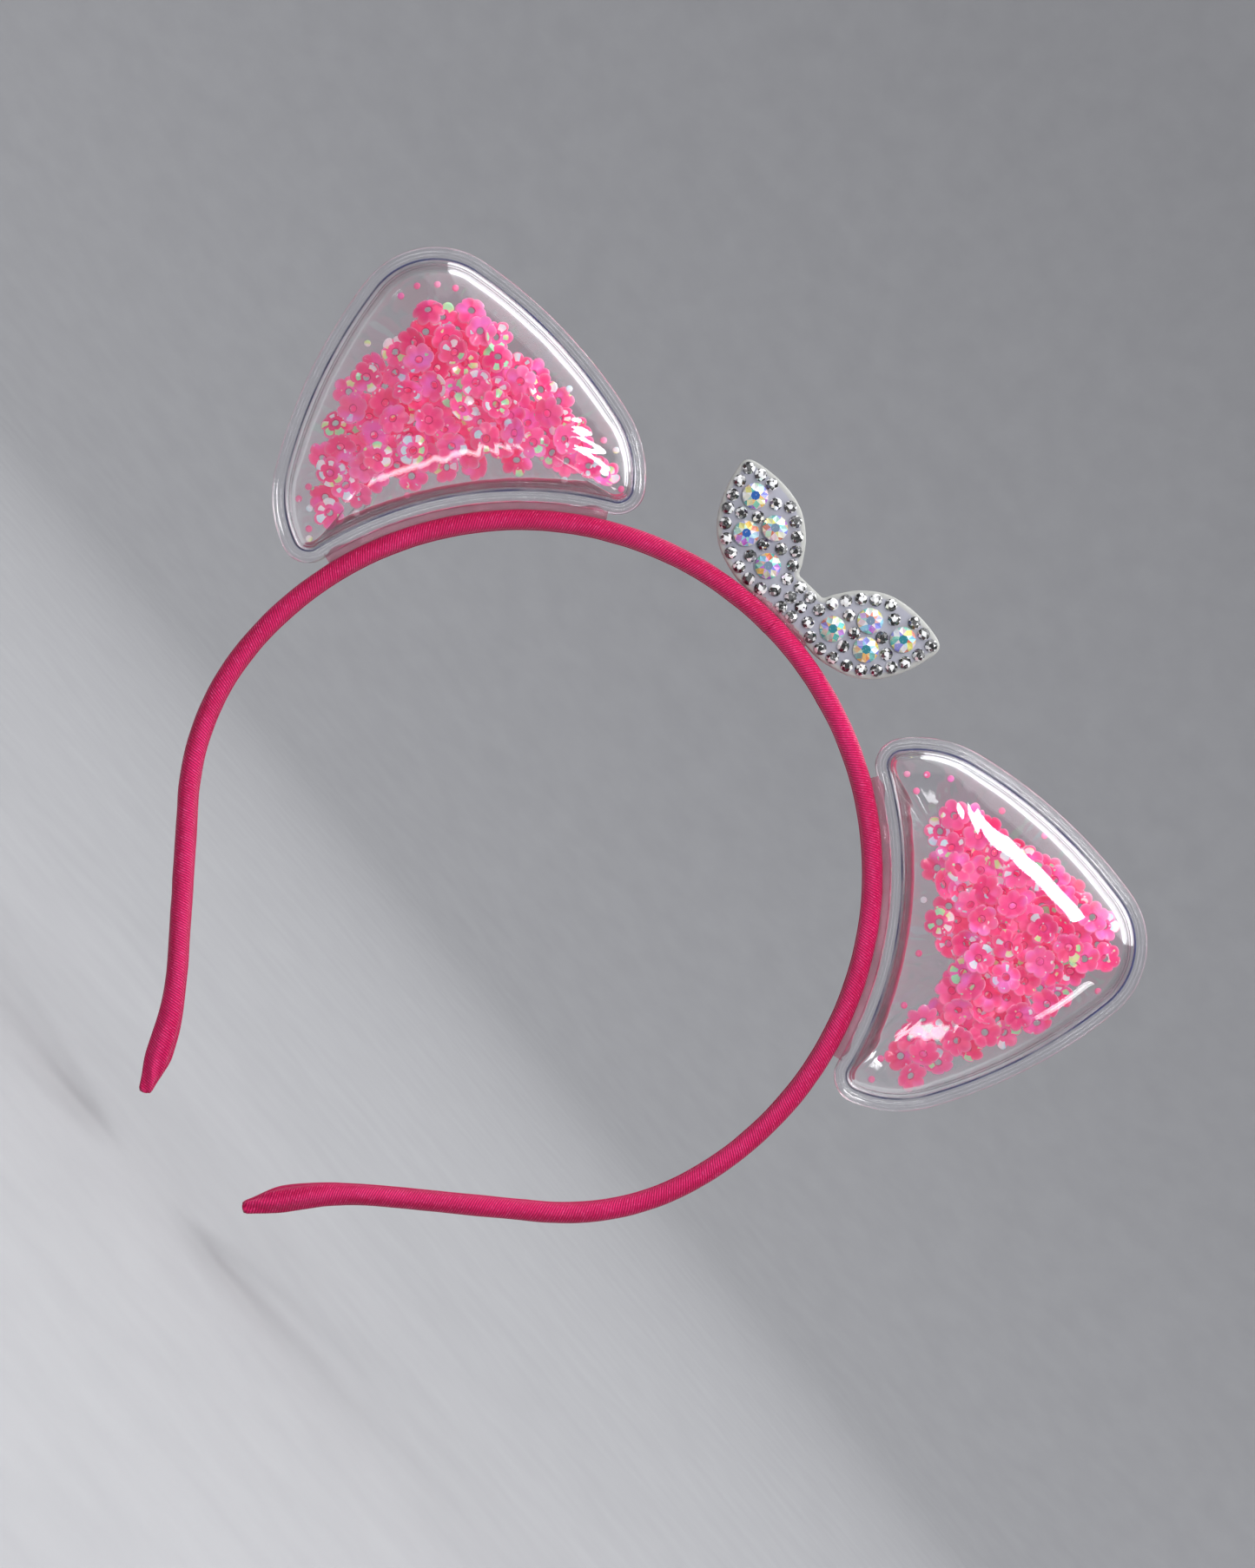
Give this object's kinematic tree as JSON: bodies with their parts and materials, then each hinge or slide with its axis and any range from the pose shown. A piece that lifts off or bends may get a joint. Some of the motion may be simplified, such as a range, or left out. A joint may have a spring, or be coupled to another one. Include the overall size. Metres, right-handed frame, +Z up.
{
  "type": "animal ears headband",
  "caption": "Satin-wrapped springy hoop headband with two clear puffed cat ears holding loose flower sequins, and a leaf-winged bow set with stones.",
  "frame": {"origin": "top middle of the hoop's inner face, where it sits on the head", "axes": "+Z up as worn, -Y to the front, +X to the right as seen from the front; the hoop lies in the XZ plane"},
  "size_m": [0.1695, 0.013, 0.1458],
  "materials": {
    "core": "plain moulded plastic, hidden under the satin",
    "satin": "satin with fine diagonal ribs and a lengthwise sheen",
    "clear_vinyl": "clear glossy film, welded flat round the rim",
    "sequin_film": "thin film with changing mint, yellow and lilac glints",
    "glue": "clear pinkish hot-melt glue",
    "backing_film": "milky translucent film",
    "large_stone": "foiled, cut, with changing colours",
    "small_stone": "foiled, cut, clear"
  },
  "bodies": {
    "headband": {"crown_core": "core", "crown_cover": "satin", "left_ear_front_shell": "clear_vinyl", "left_ear_back_shell": "clear_vinyl", "left_ear_glue": "glue", "right_ear_front_shell": "clear_vinyl", "right_ear_back_shell": "clear_vinyl", "right_ear_glue": "glue", "bow_backing": "backing_film", "bow_large_stones": "large_stone", "bow_small_stones": "small_stone", "bow_glue": "glue"},
    "left_leg": {"left_leg_core": "core", "left_leg_cover": "satin", "left_tip_fold": "satin"},
    "right_leg": {"right_leg_core": "core", "right_leg_cover": "satin", "right_tip_fold": "satin"},
    "left_fill": {"left_flower_sequins": "sequin_film", "left_round_dots": "sequin_film"},
    "right_fill": {"right_flower_sequins": "sequin_film", "right_round_dots": "sequin_film"}
  },
  "joints": [
    {"name": "left_leg_flex", "type": "hinge", "parent": "headband", "child": "left_leg", "pos_m": [-0.05633, 0, -0.06553], "axis": [0, 1, 0], "range_deg": [-3, 12], "stiffness_Nm_per_rad": 0.2},
    {"name": "right_leg_flex", "type": "hinge", "parent": "headband", "child": "right_leg", "pos_m": [0.05633, 0, -0.06553], "axis": [0, -1, 0], "range_deg": [-3, 12], "stiffness_Nm_per_rad": 0.2},
    {"name": "left_fill_slide", "type": "slide", "parent": "headband", "child": "left_fill", "axis": [-0.8526, 0, 0.5225], "range_m": [0, 0.002]},
    {"name": "right_fill_slide", "type": "slide", "parent": "headband", "child": "right_fill", "axis": [-1, 0, 0.0028], "range_m": [0, 0.002]}
  ]
}
